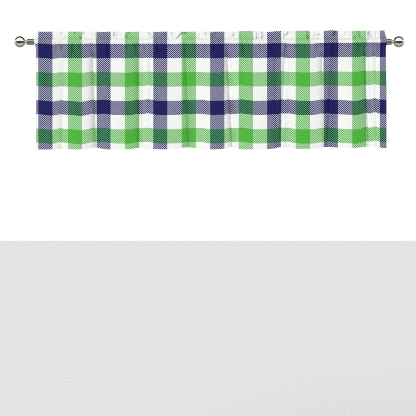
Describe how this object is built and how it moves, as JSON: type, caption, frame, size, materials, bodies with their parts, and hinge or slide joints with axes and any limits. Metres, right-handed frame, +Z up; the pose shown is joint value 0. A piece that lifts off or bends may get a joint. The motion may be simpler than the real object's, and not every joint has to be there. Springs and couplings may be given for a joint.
{
  "type": "window valance on curtain rod",
  "caption": "Short checked cloth valance gathered lightly on a straight curtain rod with a ball finial at each end.",
  "frame": {"origin": "on the rod's axis, midway between the two finials", "axes": "+X along the rod, to the right as seen from the room; +Z up; the room is on the -Y side and the window on the +Y side"},
  "size_m": [1.5186, 0.0434, 0.4637],
  "materials": {
    "printed_cloth": "matt woven polyester, printed check in navy, green and white",
    "polished_nickel": "polished nickel plate"
  },
  "bodies": {
    "root": {"valance": "printed_cloth", "rod_tube": "polished_nickel", "finial_left": "polished_nickel", "finial_right": "polished_nickel"}
  },
  "joints": []
}
